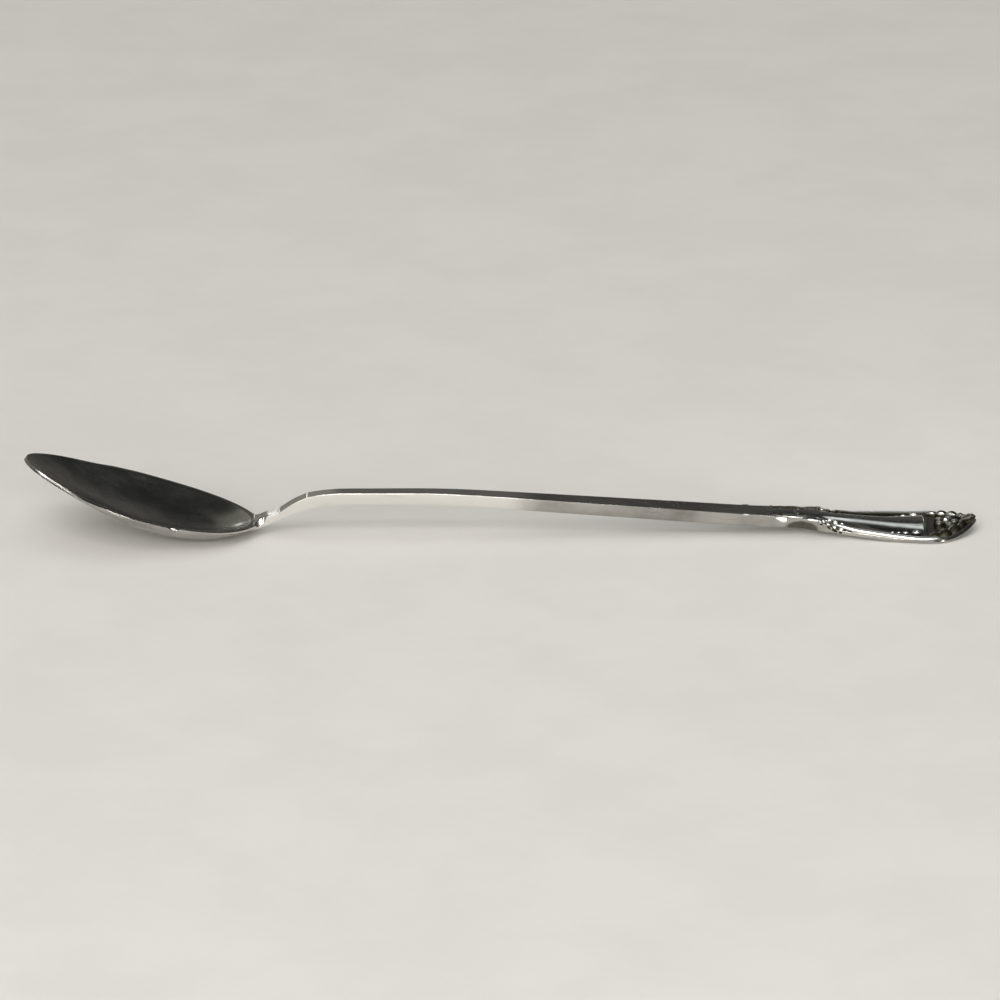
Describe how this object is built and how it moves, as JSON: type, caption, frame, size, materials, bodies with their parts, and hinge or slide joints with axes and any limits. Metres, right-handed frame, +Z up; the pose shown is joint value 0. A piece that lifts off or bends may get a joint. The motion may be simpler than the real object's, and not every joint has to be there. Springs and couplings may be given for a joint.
{
  "type": "baby spoon",
  "caption": "Silver infant feeding spoon: small pointed-oval bowl, long cranked stem and a flared handle end with wire borders, scrolls, leaves and a flower.",
  "frame": {"origin": "centre of the spoon's footprint, on the table that it lies on", "axes": "+X from the bowl's tip to the handle's tip, +Z up out of the bowl, +Y to the right for someone who holds the handle"},
  "size_m": [0.14, 0.02, 0.0122],
  "materials": {
    "polished_silver": "polished",
    "oxidised_silver": "satin"
  },
  "bodies": {
    "root": {"bowl": "polished_silver", "stem": "polished_silver", "handle": "polished_silver", "border_left": "polished_silver", "border_right": "polished_silver", "scroll_left": "oxidised_silver", "scroll_right": "oxidised_silver", "leaf_left": "oxidised_silver", "leaf_right": "oxidised_silver", "rosette": "oxidised_silver", "bud": "oxidised_silver"}
  },
  "joints": []
}
